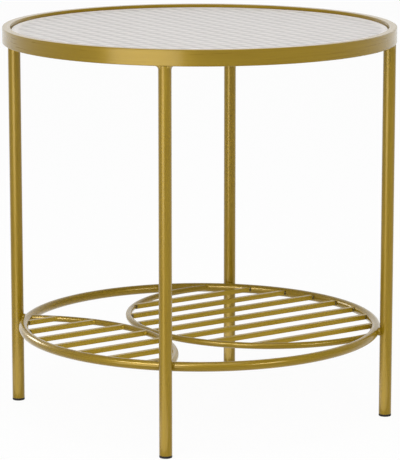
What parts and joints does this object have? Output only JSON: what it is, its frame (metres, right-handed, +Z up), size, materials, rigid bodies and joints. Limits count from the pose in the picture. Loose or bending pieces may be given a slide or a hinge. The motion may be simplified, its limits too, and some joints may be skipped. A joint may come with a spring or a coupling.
{
  "type": "tiered side table",
  "caption": "Round side table with a gold tube frame, a drop-in patterned glass top and a low rack made of two slatted fans inside a ring.",
  "frame": {"origin": "on the floor, under the middle of the table", "axes": "+Z up; +X along the slats, towards the large fan; the legs stand at 45 degrees to X and Y"},
  "size_m": [0.5, 0.5, 0.5],
  "materials": {
    "gold_metal": "satin gold paint on steel tube and bar",
    "patterned_glass": "frosted tempered glass with a small diamond relief on its upper side",
    "black_plastic": "moulded matte",
    "soft_silicone": "translucent soft silicone"
  },
  "bodies": {
    "frame": {"arc_weld": "gold_metal", "foot_back": "black_plastic", "foot_front": "black_plastic", "foot_left": "black_plastic", "foot_right": "black_plastic", "glass_bumper_back": "soft_silicone", "glass_bumper_front": "soft_silicone", "glass_bumper_left": "soft_silicone", "glass_bumper_right": "soft_silicone", "glass_tab_back": "gold_metal", "glass_tab_front": "gold_metal", "glass_tab_left": "gold_metal", "glass_tab_right": "gold_metal", "large_fan_arc": "gold_metal", "large_slat_1": "gold_metal", "large_slat_2": "gold_metal", "large_slat_3": "gold_metal", "large_slat_4": "gold_metal", "large_slat_5": "gold_metal", "large_slat_6": "gold_metal", "large_slat_7": "gold_metal", "leg_back": "gold_metal", "leg_front": "gold_metal", "leg_left": "gold_metal", "leg_right": "gold_metal", "leg_welds": "gold_metal", "rack_ring": "gold_metal", "rack_welds": "gold_metal", "small_fan_arc": "gold_metal", "small_slat_1": "gold_metal", "small_slat_2": "gold_metal", "small_slat_3": "gold_metal", "small_slat_4": "gold_metal", "small_slat_5": "gold_metal", "small_slat_6": "gold_metal", "small_slat_7": "gold_metal", "top_rim": "gold_metal"},
    "glass": {"glass_panel": "patterned_glass"}
  },
  "joints": [
    {"name": "glass_lift", "type": "slide", "parent": "frame", "child": "glass", "axis": [0, 0, 1], "range_m": [0, 0.06]}
  ]
}
